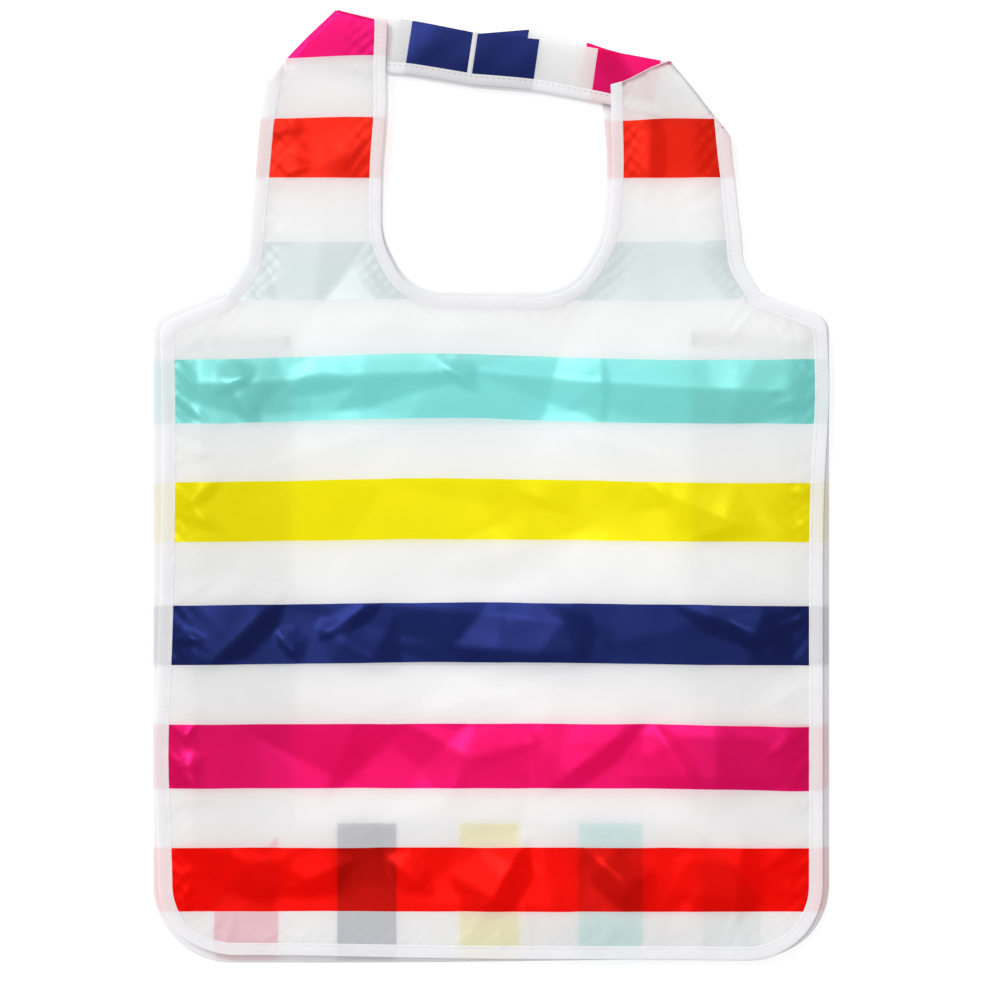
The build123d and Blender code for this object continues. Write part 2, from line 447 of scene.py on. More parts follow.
@dataclass(frozen=True)
class Taffeta:
    """Thin printed polyester taffeta: crisp print, soft gloss, a little see-through."""

    name: str = "striped_taffeta"
    stripes: StripePrint = field(default_factory=StripePrint)
    waver: Grain = Grain(26.0, 1.0)
    edge_waver: float = 0.5
    patches: Grain = Grain(9.0, 3.0, 0.6)
    uneven_ink: float = 0.10
    weave_pitch: float = 0.45
    weave_share: float = 0.35
    slub: Grain = Grain(420.0, 2.0, 0.7)
    bump_strength: float = 0.12
    bump_distance: float = 0.05
    gloss: Grain = Grain(60.0, 2.0)
    roughness: float = 0.33
    uneven_gloss: float = 0.12
    lustre: float = 0.5
    specular: float = 0.15
    through: float = 0.38
    through_ink: float = 0.52
    clear: float = 0.24

    def bands(self, board: NodeBoard, place: Socket, upward: Socket) -> bpy.types.Node:
        """The stripes, with slightly wavering edges: ink as colour, and its cover as alpha."""
        swing = board.math("SUBTRACT", board.noise(place, self.waver), 0.5)
        waver = board.math("MULTIPLY", swing, 2 * self.edge_waver * MM)
        height = board.math("DIVIDE", board.math("ADD", upward, waver), self.stripes.reach * MM)
        node = board.add("ShaderNodeValToRGB", {"Fac": height})
        bands = node.color_ramp
        bands.interpolation = "CONSTANT"
        (start, ink), *others = self.stripes.stops()
        bands.elements[0].position, bands.elements[0].color = start, linear(*ink.value)
        bands.elements.remove(bands.elements[1])
        for at, ink in others:
            bands.elements.new(at).color = linear(*ink.value)
        return node

    def build(self) -> Material:
        """Makes the material; it reads the print UV map, in metres of cloth."""
        board = NodeBoard(bpy.data.materials.new(self.name))
        place, across, upward = board.print_place()
        bands = self.bands(board, place, upward)
        cover = bands.outputs["Alpha"]

        # ink lies a touch unevenly on the cloth
        colour = board.out("ShaderNodeHueSaturation", {
            "Color": bands.outputs["Color"],
            "Value": board.varied(place, self.patches, 1.0, self.uneven_ink)})

        # plain weave: threads across and along, with the odd thicker one
        thread = board.math("MULTIPLY", board.wave(across, self.weave_pitch),
                            board.wave(upward, self.weave_pitch))
        relief = board.math("ADD", board.math("MULTIPLY", thread, self.weave_share),
                            board.noise(place, self.slub))
        normal = board.bump(relief, self.bump_strength, self.bump_distance)

        face = board.out("ShaderNodeBsdfPrincipled", {
            "Base Color": colour, "Normal": normal, "Specular IOR Level": self.specular,
            "Roughness": board.varied(place, self.gloss, self.roughness, self.uneven_gloss),
            "Metallic": board.math("MULTIPLY", cover, self.lustre)})
        ink = board.math("MULTIPLY", cover, self.through_ink - self.through)
        return board.thin(face, {"Color": colour, "Normal": normal},
                          board.math("ADD", ink, self.through), {"Color": colour}, self.clear)


@dataclass(frozen=True)
class BindingTape:
    """White woven tape, thin enough to be tinted by the cloth inside it."""

    name: str = "binding_tape"
    rib_pitch: float = 0.9
    rib_share: float = 0.4
    fuzz: Grain = Grain(900.0, 3.0, 0.7)
    bump_strength: float = 0.25
    bump_distance: float = 0.06
    cloudy: Grain = Grain(45.0, 2.0)
    shades: tuple[tuple[int, int, int], ...] = ((250, 249, 251), (254, 253, 255))
    shades_at: Pair = (0.3, 0.7)
    roughness: float = 0.5
    sheen: float = 0.15
    through: float = 0.28
    clear: float = 0.07

    def build(self) -> Material:
        """Makes the material; its ribs run across the tape, by the tape's own UV map."""
        board = NodeBoard(bpy.data.materials.new(self.name))
        place, run, _ = board.print_place()
        rib = board.math("MULTIPLY", board.wave(run, self.rib_pitch), self.rib_share)
        height = board.math("ADD", rib, board.noise(place, self.fuzz))
        tone = board.add("ShaderNodeValToRGB", {"Fac": board.noise(place, self.cloudy)})
        for stop, at, shade in zip(tone.color_ramp.elements, self.shades_at, self.shades):
            stop.position, stop.color = at, linear(*shade)
        colour = tone.outputs["Color"]
        face = board.out("ShaderNodeBsdfPrincipled", {
            "Base Color": colour, "Roughness": self.roughness, "Sheen Weight": self.sheen,
            "Normal": board.bump(height, self.bump_strength, self.bump_distance)})
        return board.thin(face, {"Color": colour}, self.through, {}, self.clear)


@dataclass(frozen=True)
class SewingThread:
    """Spun polyester thread with a fine twist."""

    name: str
    shade: tuple[int, int, int]
    twist: Grain = Grain(2600.0, 2.0)
    uneven: float = 0.2
    roughness: float = 0.6

    def build(self) -> Material:
        """Makes the material."""
        board = NodeBoard(bpy.data.materials.new(self.name))
        place = board.add("ShaderNodeTexCoord").outputs["Object"]
        tone = board.out("ShaderNodeHueSaturation", {
            "Color": linear(*self.shade),
            "Value": board.varied(place, self.twist, 1.0, self.uneven)})
        return board.finish(board.out("ShaderNodeBsdfPrincipled", {
            "Base Color": tone, "Roughness": self.roughness}))


@dataclass(frozen=True)
class Finishes:
    """Every finish on the tote, made once."""

    cloth: Material
    gusset: Material
    tape: Material
    hem: Material
    thread: Material
    needle: Material

    @classmethod
    def make(cls) -> "Finishes":
        """Builds the materials."""
        return cls(
            cloth=Taffeta().build(),
            gusset=Taffeta("gusset_taffeta", through=0.40, through_ink=0.42, clear=0.06).build(),
            tape=BindingTape().build(),
            hem=BindingTape("hem_tape", through=0.4, clear=0.58).build(),
            thread=SewingThread("white_thread", (236, 234, 238)).build(),
            needle=SewingThread("needle_marks", (176, 172, 183)).build(),
        )


# ---- how the cloth lies ---------------------------------------------------------------------
UPPER_LEFT = np.array((-0.64, 0.77))  # the side that a crease turns to the key light


@dataclass(frozen=True)
class Nudge:
    """A soft push of the laid cloth across the table, strongest at its centre."""

    x: float
    y: float
    reach_x: float
    reach_y: float
    push_x: float
    push_y: float

    def at(self, points: Points) -> Points:
        """The push at each point."""
        fall = np.exp(-((points[:, 0] - self.x) / self.reach_x) ** 2
                      - ((points[:, 1] - self.y) / self.reach_y) ** 2)
        return fall[:, None] * np.array((self.push_x, self.push_y))


@dataclass(frozen=True)
class Crease:
    """A straight crease: the cloth falls evenly to both sides of it and runs out at its ends.

    Its two widths are those towards the lower right and towards the upper left.
    """

    x0: float
    y0: float
    x1: float
    y1: float
    height: float
    below: float
    above: float

    def at(self, points: Points) -> Points:
        """Height of the crease at each point."""
        start = np.array((self.x0, self.y0))
        run = np.array((self.x1, self.y1)) - start
        length = float(np.linalg.norm(run))
        run = run / length
        aside = np.array((run[1], -run[0]))
        if aside @ UPPER_LEFT > 0:
            aside = -aside
        across, span = (points - start) @ aside, (points - start) @ run
        fall = np.where(across > 0, across / self.below, -across / self.above)
        past = np.maximum(np.abs(span - length / 2) - length / 4, 0) / (length / 2)
        return self.height * np.clip(1 - fall - past, 0, 1)


@dataclass
class Facets:
    """Flat facets between knots at uneven heights, as cloth keeps that was folded away small."""

    seed: int
    cell: float
    height: float
    field_x: Pair = (-250.0, 260.0)
    field_y: Pair = (-40.0, 640.0)
    row_share: float = 0.87
    scatter: float = 0.42

    def __post_init__(self) -> None:
        """Scatters the knots and joins them to triangles."""
        draw = np.random.default_rng(self.seed)
        x, y = np.meshgrid(np.arange(*self.field_x, self.cell),
                           np.arange(*self.field_y, self.cell * self.row_share))
        x[1::2] += self.cell / 2
        knots = np.stack([x.ravel(), y.ravel()], axis=1)
        knots += draw.uniform(-self.scatter, self.scatter, knots.shape) * self.cell
        self._tops = draw.uniform(-1, 1, len(knots)) * self.height
        _, _, faces, origin, _, _ = delaunay_2d_cdt([Vector(k) for k in knots], [], [], 0, 1e-6)
        self._knots = knots
        self._faces = [[origin[i][0] for i in face] for face in faces]

    def at(self, points: Points) -> Points:
        """Height of the facets at each point."""
        out = np.zeros(len(points))
        order = np.argsort(points[:, 0], kind="stable")
        sorted_x = points[order, 0]
        for face in self._faces:
            a, b, c = self._knots[face]
            first = np.searchsorted(sorted_x, min(a[0], b[0], c[0]), side="left")
            last = np.searchsorted(sorted_x, max(a[0], b[0], c[0]), side="right")
            near = order[first:last]
            y = points[near, 1]
            near = near[(y >= min(a[1], b[1], c[1])) & (y <= max(a[1], b[1], c[1]))]
            if not len(near):
                continue
            share = np.linalg.solve(np.stack([b - a, c - a], axis=1), (points[near] - a).T).T
            hit = (share.min(axis=1) >= -1e-9) & (share.sum(axis=1) <= 1 + 1e-9)
            ta, tb, tc = self._tops[face]
            out[near[hit]] = ta + share[hit] @ np.array((tb - ta, tc - ta))
        return out


@dataclass
class Crumple:
    """All the creases of one side: coarse facets, patches of fine ones, and single creases."""

    seed: int
    creases: tuple[Crease, ...] = ()
    coarse: float = 2.2
    fine: float = 0.7
    lift: float = 1.0
    single: float = 1.3
    cells: tuple[float, float, float] = (62.0, 25.0, 90.0)
    patches: Pair = (-0.1, 0.5)

    def __post_init__(self) -> None:
        """Draws the facets."""
        heights = (self.coarse, self.fine, 1.0)
        self._coarse, self._fine, self._patches = (
            Facets(self.seed + k, cell, height)
            for k, (cell, height) in enumerate(zip(self.cells, heights)))

    def at(self, points: Points) -> Points:
        """Height of the creases at each point."""
        patch = ramp(self._patches.at(points), *self.patches)
        height = self._coarse.at(points) + self._fine.at(points) * patch + self.lift
        single = sum((c.at(points) for c in self.creases), np.zeros(len(points)))
        return height + self.single * single


@dataclass(frozen=True)
class StrapFold:
    """Where one strap folds over its grip.

    Run and tuck go inwards from the strap's outer side, to the apex and to the fold's outer end;
    drop is the height between those two, and lean is how far the side swings out below the fold.
    """

    run: float
    drop: float
    tuck: float
    lean: float


@dataclass
class PanelCut:
    """The cut of one panel with its two straps, and the lines along which the straps fold."""

    half_width: float
    top: float
    left_rise: float
    right_rise: float
    right_fold: StrapFold
    shoulder_drop: float = 15.0
    shoulder_half: float = 160.0
    corner: float = 46.0
    mouth_half: float = 66.0
    strap: float = 74.0
    flare: float = 6.0
    left_fold: StrapFold = StrapFold(47.0, 43.9, 5.4, -1.4)
    fold_slope: float = 10.0
    flare_up: float = 20.0
    lean_down: float = 24.0
    mouth_up: float = 34.0
    mouth_in: float = 18.0
    strap_radii: tuple[float, ...] = (8, 24, 30, 0, 0, 0, 48, 33)
    shoulder_radius: float = 12.0

    def rise(self, side: int) -> float:
        """Height of a strap's apex above the panel, for side -1 or 1."""
        return self.left_rise if side < 0 else self.right_rise

    def strap_corners(self, side: int) -> list[tuple[float, float, float]]:
        """Corners of one strap from its shoulder to the mouth, with their radii."""
        outer, apex = self.mouth_half + self.strap, self.top + self.rise(side)
        fold = self.left_fold if side < 0 else self.right_fold
        places = (
            (self.shoulder_half, self.top),
            (outer + self.flare, self.top + self.flare_up),
            (outer + fold.lean, apex - fold.drop - self.lean_down),
            (outer - fold.tuck, apex - fold.drop),
            (outer - fold.run, apex),
            (self.mouth_half, apex - self.fold_slope),
            (self.mouth_half, self.top + self.mouth_up),
            (self.mouth_half - self.mouth_in, self.top),
        )
        return [(side * x, y, radius) for (x, y), radius in zip(places, self.strap_radii)]

    def bottom_corners(self) -> list[tuple[float, float, float]]:
        """Corners of the bag below its shoulders, counter-clockwise, with their radii."""
        w, shoulder = self.half_width, self.top - self.shoulder_drop
        return [(-w, shoulder, self.shoulder_radius), (-w, 0, self.corner), (w, 0, self.corner),
                (w, shoulder, self.shoulder_radius)]

    def outline(self, step: float) -> Points:
        """The whole outline, counter-clockwise from the bottom left."""
        first, *others = self.bottom_corners()
        right, left = self.strap_corners(1), self.strap_corners(-1)[::-1]
        return rounded([*others, *right, *left, first], True, step)

    def outer_edge(self, step: float) -> Points:
        """The bound edge from the left strap's fold down round the bag to the right strap's."""
        left, right = self.strap_corners(-1)[:4][::-1], self.strap_corners(1)[:4]
        return rounded([*left, *self.bottom_corners(), *right], False, step)

    def inner_edge(self, step: float) -> Points:
        """The bound edge from the right strap's upper fold round the mouth to the left strap's."""
        return rounded([*self.strap_corners(1)[5:], *self.strap_corners(-1)[5:][::-1]], False, step)

    def folds(self, side: int) -> list[tuple[Points, Points]]:
        """The diagonal fold and the upper fold of one strap, each from its lower outer end."""
        points = [np.array(c[:2]) for c in self.strap_corners(side)[3:6]]
        return [(points[0], points[1]), (points[1], points[2])]


@dataclass(frozen=True)
class Tucks:
    """The small tucks that a seam draws into the cloth: the ranges of their sizes."""

    seed: int = 5
    lean: Pair = (-0.8, 0.8)
    reach: Pair = (16, 34)
    width: Pair = (2.6, 6.0)
    height: Pair = (0.25, 0.62)
    spacing: Pair = (8, 26)
    ends: float = 20.0
    foot_in: float = 3.0
    far_side: float = 1.6

    def beside(self, edge: Points) -> list[Crease]:
        """Draws the tucks at the left of an edge."""
        draw = np.random.default_rng(self.seed)
        normal, run = left_of(edge), along(edge)
        tucks, at = [], self.ends
        while at < run[-1] - self.ends:
            k = int(np.searchsorted(run, at))
            foot, into = edge[k], normal[k]
            ahead = into + np.array((into[1], -into[0])) * draw.uniform(*self.lean)
            tip = foot + ahead * draw.uniform(*self.reach)
            width = draw.uniform(*self.width)
            tucks.append(Crease(*(foot + into * self.foot_in), *tip, draw.uniform(*self.height),
                                width, width * self.far_side))
            at += draw.uniform(*self.spacing)
        return tucks


@dataclass(frozen=True)
class Fades:
    """Where each part of the relief comes in, from none to all of it.

    Heap is measured up from a strap's apex, strap from the panel's top, crease, bound and pucker
    from the nearest edge, and the others from the nearest side of the bag.
    """

    heap: Pair = (-75, 14)
    strap: Pair = (4, 96)
    crease: Pair = (5, 24)
    bound: Pair = (5, 9)
    pucker: Pair = (12, 26)
    rim: Pair = (2, 78)
    hollow: Pair = (70, 175)
    hang: Pair = (88, 150)
    bulge: Pair = (75, 110)


@dataclass
class LaidCloth:
    """Takes places on a cut panel to the table, with the cloth's sag, creases and curled folds.

    Of the pairs, sag is for the rim and the hollow, curls for the diagonal and the upper fold, and
    heap for the left and the right strap. Back limits are the creases' height at the rim and how
    much it may grow inwards; clearance is how far the front stays over the layers under it, on
    the panel and on the straps; soft rounds over where those two limits are reached.
    """

    cut: PanelCut
    level: float
    sag: Pair
    nudges: tuple[Nudge, ...]
    crumple: Crumple
    curls: Pair
    heap: Pair
    facing: float
    hang: float = 1.4
    wander: float = 12.0
    pucker: float = 0.22
    strap_creases: float = 0.5
    back_creases: float = 0.45
    back_limits: Pair = (0.5, 1.2)
    clearance: Pair = (0.12, 0.1)
    past_ends: float = 14.0
    heap_share: float = 0.25
    seam_step: float = 4.0
    wander_waves: tuple[Pair, ...] = ((0.021, 1.7), (0.017, 0.6))
    pucker_waves: tuple[tuple[float, float, float], ...] = ((0.71, 1.3, 0.13), (0.67, 1.1, 0.11))
    soft: Pair = (0.2, 0.3)
    fades: Fades = Fades()

    def __post_init__(self) -> None:
        """Keeps the edges for the distance to a seam, and draws the small tucks beside them."""
        self._outer = self.cut.outer_edge(self.seam_step)
        self._inner = self.cut.inner_edge(self.seam_step)
        self._tucks = Tucks().beside(self._outer)

    def heaped(self, points: Points) -> Points:
        """How far each strap stands up over its folded grip."""
        left = points[:, 0] < 0
        apex = self.cut.top + np.where(left, self.cut.left_rise, self.cut.right_rise)
        return np.where(left, *self.heap) * ramp(points[:, 1] - apex, *self.fades.heap)

    def puckers(self, points: Points, edge: Points) -> Points:
        """Height of the fine puckers that the stitches draw beside an edge."""
        x, y = points[:, 0], points[:, 1]
        (by_x, bend_x, over_y), (by_y, bend_y, over_x) = self.pucker_waves
        bite = (np.sin(x * by_x + bend_x * np.sin(y * over_y))
                * np.sin(y * by_y + bend_y * np.sin(x * over_x)))
        near = ramp(edge, *self.fades.bound) * (1 - ramp(edge, *self.fades.pucker))
        return self.pucker * bite * near

    def creased(self, points: Points, edge: Points, side: Points, up: Points) -> Points:
        """Height of all creases and tucks; at the back the table takes most of it."""
        height = (self.crumple.at(points) * ramp(edge, *self.fades.crease)
                  * (1 - self.strap_creases * up))
        tucks = sum((t.at(points) for t in self._tucks), np.zeros(len(points)))
        height = height + tucks * ramp(edge, *self.fades.bound)
        if self.facing > 0:
            return height
        height = smooth_max(height * self.back_creases, np.zeros_like(height), self.soft[0])
        low, bulge = self.back_limits
        return np.minimum(height, low + bulge * ramp(side, *self.fades.bulge))

    def relief(self, points: Points) -> Points:
        """Height of the cloth over its level."""
        x, y = points[:, 0], points[:, 1]
        edge = np.minimum(distance_to(self._outer, points), distance_to(self._inner, points))
        up = ramp(y, *(self.cut.top + at for at in self.fades.strap))
        side = np.minimum(self.cut.half_width - np.abs(x), y)
        (by_x, from_x), (by_y, from_y) = self.wander_waves
        wander = side + self.wander * np.sin(x * by_x + from_x) * np.sin(y * by_y + from_y)
        rim = self.sag[0] * ramp(side, *self.fades.rim)
        sink = rim + self.sag[1] * ramp(wander, *self.fades.hollow)
        height = -sink * (1 - up) + self.creased(points, edge, side, up)
        if self.facing > 0:
            # the front never sinks into the layers under it
            low, strap_low = self.clearance
            bound = -rim - low - self.hang * ramp(side, *self.fades.hang)
            height = smooth_max(height, bound * (1 - up) - strap_low * up, self.soft[1])
        return height + self.puckers(points, edge) + self.heaped(points)

    def drift(self, points: Points) -> Points:
        """Where the cloth was pushed to across the table."""
        return points + sum((n.at(points) for n in self.nudges), np.zeros_like(points))

    def place(self, points: Points) -> Points:
        """Places on the table of places on the cut cloth; past a fold they curl under."""
        points = np.asarray(points, float)
        past, radius = np.zeros(len(points)), np.ones(len(points))
        outward = np.zeros_like(points)
        for side in (-1, 1):
            for (a, b), curl in zip(self.cut.folds(side), self.curls):
                run, normal, length = line_frame(a, b)
                beyond, span = (points - a) @ normal, (points - a) @ run
                hit = (beyond > past) & (np.sign(points[:, 0]) == side)
                hit &= (span > -self.past_ends) & (span < length + self.past_ends)
                past[hit], radius[hit], outward[hit] = beyond[hit], curl, normal
        foot = points - outward * past[:, None]
        radius = radius + np.where(past > 0, self.heaped(foot) * self.heap_share, 0)
        flat, height = self.drift(foot), self.level + self.relief(foot)
        turned = np.minimum(past, math.pi * radius)
        reach = radius * np.sin(turned / radius) - np.maximum(past - math.pi * radius, 0)
        drop = radius * (1 - np.cos(turned / radius))
        return np.column_stack([flat + outward * reach[:, None], height - self.facing * drop])

    def normals(self, points: Points, step: float = 0.4) -> Points:
        """Upward normals of the laid cloth, from points a step to the right and up."""
        here = self.place(points)
        east = self.place(points + np.array((step, 0.0))) - here
        north = self.place(points + np.array((0.0, step))) - here
        normal = np.cross(east, north)
        return normal / np.maximum(np.linalg.norm(normal, axis=1), 1e-9)[:, None]


# ---- tape and thread ------------------------------------------------------------------------
@dataclass(frozen=True)
class TapeSection:
    """A tape seen along the edge it binds: distances inwards and heights outwards of the cloth."""

    points: tuple[Pair, ...]
    stitch_in: float = 6.5
    stitch_out: float = 0.26


OUTER_LEG = ((8.2, 0.06), (7.9, 0.20), (7.2, 0.24), (6.5, 0.17), (5.8, 0.28), (4.4, 0.38),
             (2.4, 0.41), (0.8, 0.39), (0.1, 0.30), (-0.2, 0.12))
SEAM_TAPE = TapeSection(OUTER_LEG + ((-0.25, -0.15), (0.0, -0.40), (1.2, -0.52), (4.0, -0.54),
                                     (6.5, -0.45), (8.0, -0.40)))
EDGE_TAPE = TapeSection(
    tuple((into * 0.87, out) for into, out in OUTER_LEG)
    + ((-0.2, -0.1), (0.1, -0.28), (1.2, -0.36), (4.0, -0.36), (5.7, -0.20), (7.0, -0.08)),
    stitch_in=5.6)


def bind(name: str, cloth: LaidCloth, edge: Points, section: TapeSection,
         material: Material) -> Piece:
    """Binds an edge of laid cloth with folded tape.

    Args:
        name: the piece's name.
        cloth: the cloth that the tape holds.
        edge: the edge, in places on the cut cloth, which lies at its left.
        section: the tape's section.
        material: the tape's finish.

    Returns:
        The tape.
    """
    normal, girth = left_of(edge), along(np.array(section.points))
    rows = []
    for into, out in section.points:
        flat = edge + normal * into
        rows.append(cloth.place(flat) + cloth.normals(flat) * out * cloth.facing)
    print_at = strip_print([edge] * len(rows), girth).swapaxes(0, 1)
    return grid_piece(name, np.stack(rows, axis=1), print_at, cloth.facing > 0, material)


@dataclass(frozen=True)
class Stitch:
    """One stitch of a lockstitch seam, and its pitch."""

    length: float = 2.1
    pitch: float = 2.9
    radius: float = 0.17
    shoulder: float = 0.32
    end: float = 0.4
    narrowed: float = 0.5
    dip: float = 0.7

    def pattern(self) -> tuple[Points, Faces]:
        """Models one stitch by hand: a short six-sided bar with drawn-in, dipping ends."""
        bpy.ops.object.select_all(action="DESELECT")
        bpy.ops.mesh.primitive_cylinder_add(
            vertices=6, radius=self.radius * MM, depth=self.length * MM,
            rotation=(0, math.pi / 2, 0), end_fill_type="NGON",
        )
        bar = bpy.context.active_object
        bpy.ops.object.transform_apply(location=True, rotation=True, scale=True)
        bpy.ops.object.mode_set(mode="EDIT")
        for shoulder in (self.shoulder, -self.shoulder):
            bpy.ops.mesh.select_all(action="SELECT")
            bpy.ops.mesh.bisect(plane_co=(shoulder * self.length * MM, 0, 0), plane_no=(1, 0, 0))
        bpy.ops.object.mode_set(mode="OBJECT")
        mesh = bar.data
        points = np.array([v.co for v in mesh.vertices]) / MM
        faces = [tuple(p.vertices) for p in mesh.polygons]
        end = np.abs(points[:, 0]) > self.end * self.length
        points[end, 1:] *= self.narrowed
        points[end, 2] -= self.dip * self.radius
        bpy.data.objects.remove(bar)
        bpy.data.meshes.remove(mesh)
        return points, faces


def sew(name: str, line: Points, up: Points, stitch: Stitch, material: Material) -> Piece:
    """Lays stitches along a line in space.

    Args:
        name: the piece's name.
        line: points that the seam follows.
        up: the direction away from the cloth at each of them.
        stitch: the stitch.
        material: the thread's finish.

    Returns:
        The seam, all its stitches in one mesh.
    """
    pattern, pattern_faces = stitch.pattern()
    run = along(line)
    places = np.arange(stitch.pitch / 2, run[-1] - stitch.length / 2, stitch.pitch)
    centre = sampled(line, places)
    ahead = sampled(line, places + stitch.length / 2) - sampled(line, places - stitch.length / 2)
    ahead /= np.linalg.norm(ahead, axis=1)[:, None]
    rise = np.stack([np.interp(places, run, up[:, k]) for k in range(3)], axis=1)
    aside = np.cross(rise, ahead)
    aside /= np.linalg.norm(aside, axis=1)[:, None]
    rise = np.cross(ahead, aside)
    points = (centre[:, None] + pattern[None, :, :1] * ahead[:, None]
              + pattern[None, :, 1:2] * aside[:, None] + pattern[None, :, 2:] * rise[:, None])
    faces = [tuple(i + k * len(pattern) for i in face)
             for k in range(len(places)) for face in pattern_faces]
    return make_piece(name, points.reshape(-1, 3), faces, material)


def sew_edge(name: str, cloth: LaidCloth, edge: Points, section: TapeSection,
             material: Material) -> Piece:
    """Sews along the inner edge of a tape, on the outer face of the cloth."""
    flat = edge + left_of(edge) * section.stitch_in
    normal = cloth.normals(flat) * cloth.facing
    return sew(name, cloth.place(flat) + normal * section.stitch_out, normal, Stitch(), material)


# ---- the two sides of the bag -----------------------------------------------------------------
# the grip's tape: place inwards from the open edges, layer, and height over it
GRIP_TAPE = (
    (6.6, 1, 0.05), (6.3, 1, 0.18), (5.6, 1, 0.2), (5.0, 1, 0.14), (4.2, 1, 0.26), (2.4, 1, 0.34),
    (0.6, 1, 0.28), (-0.15, 0.6, 0.1), (-0.35, 0, 0), (-0.15, -0.6, 0.1), (0.6, -1, 0.28),
    (2.4, -1, 0.34), (5.0, -1, 0.14), (6.6, -1, 0.05))
# the seam across the grip: place along the grip, and height over the cloth
GRIP_JOINT = ((-1.5, 0.03), (-1.25, 0.22), (-0.4, 0.3), (0.4, 0.3), (1.25, 0.22), (1.5, 0.03))


@dataclass
class GripForm:
    """The folded grip of one handle, below its crease.

    Crest is how far the crease rises over the line between the straps' apexes, by share of that
    line. The grip is free of the straps between free_from and free_to, two shares at each end.
    """

    cloth: LaidCloth
    outer_z: float
    inner_z: float
    crest: tuple[Pair, ...]
    seam_share: float
    tilt: float
    puff: float
    end_width: float = 35.0
    middle_width: float = 30.5
    waist: float = 0.53
    waist_power: float = 1.6
    ripples: tuple[float, float, float] = (34.0, 13.0, 5.0)
    ripple_share: float = 0.25
    roundness: float = 0.8
    free_from: Pair = (0.16, 0.3)
    free_to: Pair = (0.72, 0.86)
    half_height: float = 34.0
    seam_print: float = 653.8
    left_hidden: float = 590.0
    right_hidden: float = 530.0
    behind_fold: float = 1.5
    behind_edge: float = 2.0
    first_depth: float = 0.02
    bend_depth: float = 0.012

    def __post_init__(self) -> None:
        """Finds the crease's left end and direction, the way down from it, and its ends' slants."""
        tips, slants = [], []
        for side in (-1, 1):
            (low, apex), _ = self.cloth.cut.folds(side)
            tips.append(self.cloth.drift(apex[None])[0])
            slants.append(self.cloth.drift(low[None])[0] - tips[-1])
        ahead = tips[1] - tips[0]
        self.length = float(np.linalg.norm(ahead))
        self._tip, self._ahead = tips[0], ahead / self.length
        self._down = np.array((self._ahead[1], -self._ahead[0]))
        self._lean = [(s @ self._ahead) / (s @ self._down) for s in slants]
        self.middle = (self.outer_z + self.inner_z) / 2
        self.half = (self.outer_z - self.inner_z) / 2
        self.sign = math.copysign(1, self.half)

    def width(self, share: Points) -> Points:
        """Height of the folded grip at a share of its length."""
        off = np.abs(2 * share - 2 * self.waist) ** self.waist_power
        return self.middle_width + (self.end_width - self.middle_width) * off

    def ends(self, drop: Points) -> tuple[Points, Points]:
        """Where the grip's ends lie along its crease, at a distance below it."""
        return self._lean[0] * drop, self.length + self._lean[1] * drop

    def between(self, share: Points) -> Points:
        """How free of the straps the grip is, from 0 to 1."""
        return ramp(share, *self.free_from) * (1 - ramp(share, *self.free_to))

    def lift(self, share: Points, depth: Points) -> Points:
        """How far each layer stands off, between the straps."""
        long, short, aslant = self.ripples
        ripple = self.ripple_share * np.sin(share * long) * np.sin(share * short + depth * aslant)
        ripple = (1 - self.ripple_share) + ripple
        arch = np.sin(math.pi * np.clip(depth, 0, 1)) ** self.roundness
        return self.puff * self.between(share) * ripple * arch

    def layer(self, share: Points, depth: Points, level: Points | float,
              over: Points | float = 0.0) -> Points:
        """Points on a layer of the grip, or over it.

        Args:
            share: share of the grip's length.
            depth: share of its height, from the crease down.
            level: -1 to 1 from its inner to its outer layer.
            over: distance over the layer.

        Returns:
            The points.
        """
        rise = level * self.lift(share, np.abs(depth)) + np.sign(level) * over
        z = self.middle + self.half * level + self.sign * rise
        drop = depth * self.width(share)
        start, end = self.ends(drop)
        at = start + share * (end - start)
        crest = np.interp(at / self.length, *zip(*self.crest))
        flat = self._tip + self._ahead * at[:, None] + self._down * (drop - crest)[:, None]
        return np.column_stack([flat, z + self.tilt * self.between(share) * (1 - depth)])

    def behind_right(self, points: Points) -> Points:
        """Whether each point lies behind the right strap, past its upper fold and inner edge."""
        apex, inner = self.cloth.drift(np.array(self.cloth.cut.folds(1)[1]))
        _, upward, _ = line_frame(apex, inner)
        below = (points - apex) @ upward < -self.behind_fold
        return below & (points[:, 0] > inner[0] + self.behind_edge)

    def print_at(self, laid: Points, depth: float, level: float) -> Points:
        """Where a row of points lies on the print; the grip's two halves meet at its seam."""
        at = (laid[:, :2] - self._tip) @ self._ahead
        place = self.seam_print - np.abs(at - self.seam_share * self.length)
        under_left = at < self.free_from[0] * self.length
        place = np.where(under_left, np.maximum(place, self.left_hidden), place)
        if level > 0:
            place = np.where(self.behind_right(laid[:, :2]), self.right_hidden, place)
        side = depth * self.half_height
        side = side if level > 0 else self.cloth.cut.strap - side
        return np.column_stack([np.full(len(laid), side), place])

    def section(self, rows: int = 16, bend_rows: int = 7) -> list[Pair]:
        """Round the folded strip, from its outer to its inner layer: depth and level."""
        outer = [(d, 1.0) for d in np.linspace(1.0, self.first_depth, rows)]
        bend = [(self.bend_depth * (1 - math.sin(a)), math.cos(a))
                for a in np.linspace(0, math.pi, bend_rows)]
        inner = [(d, -1.0) for d in np.linspace(self.first_depth, 1.0, rows)]
        return outer + bend + inner


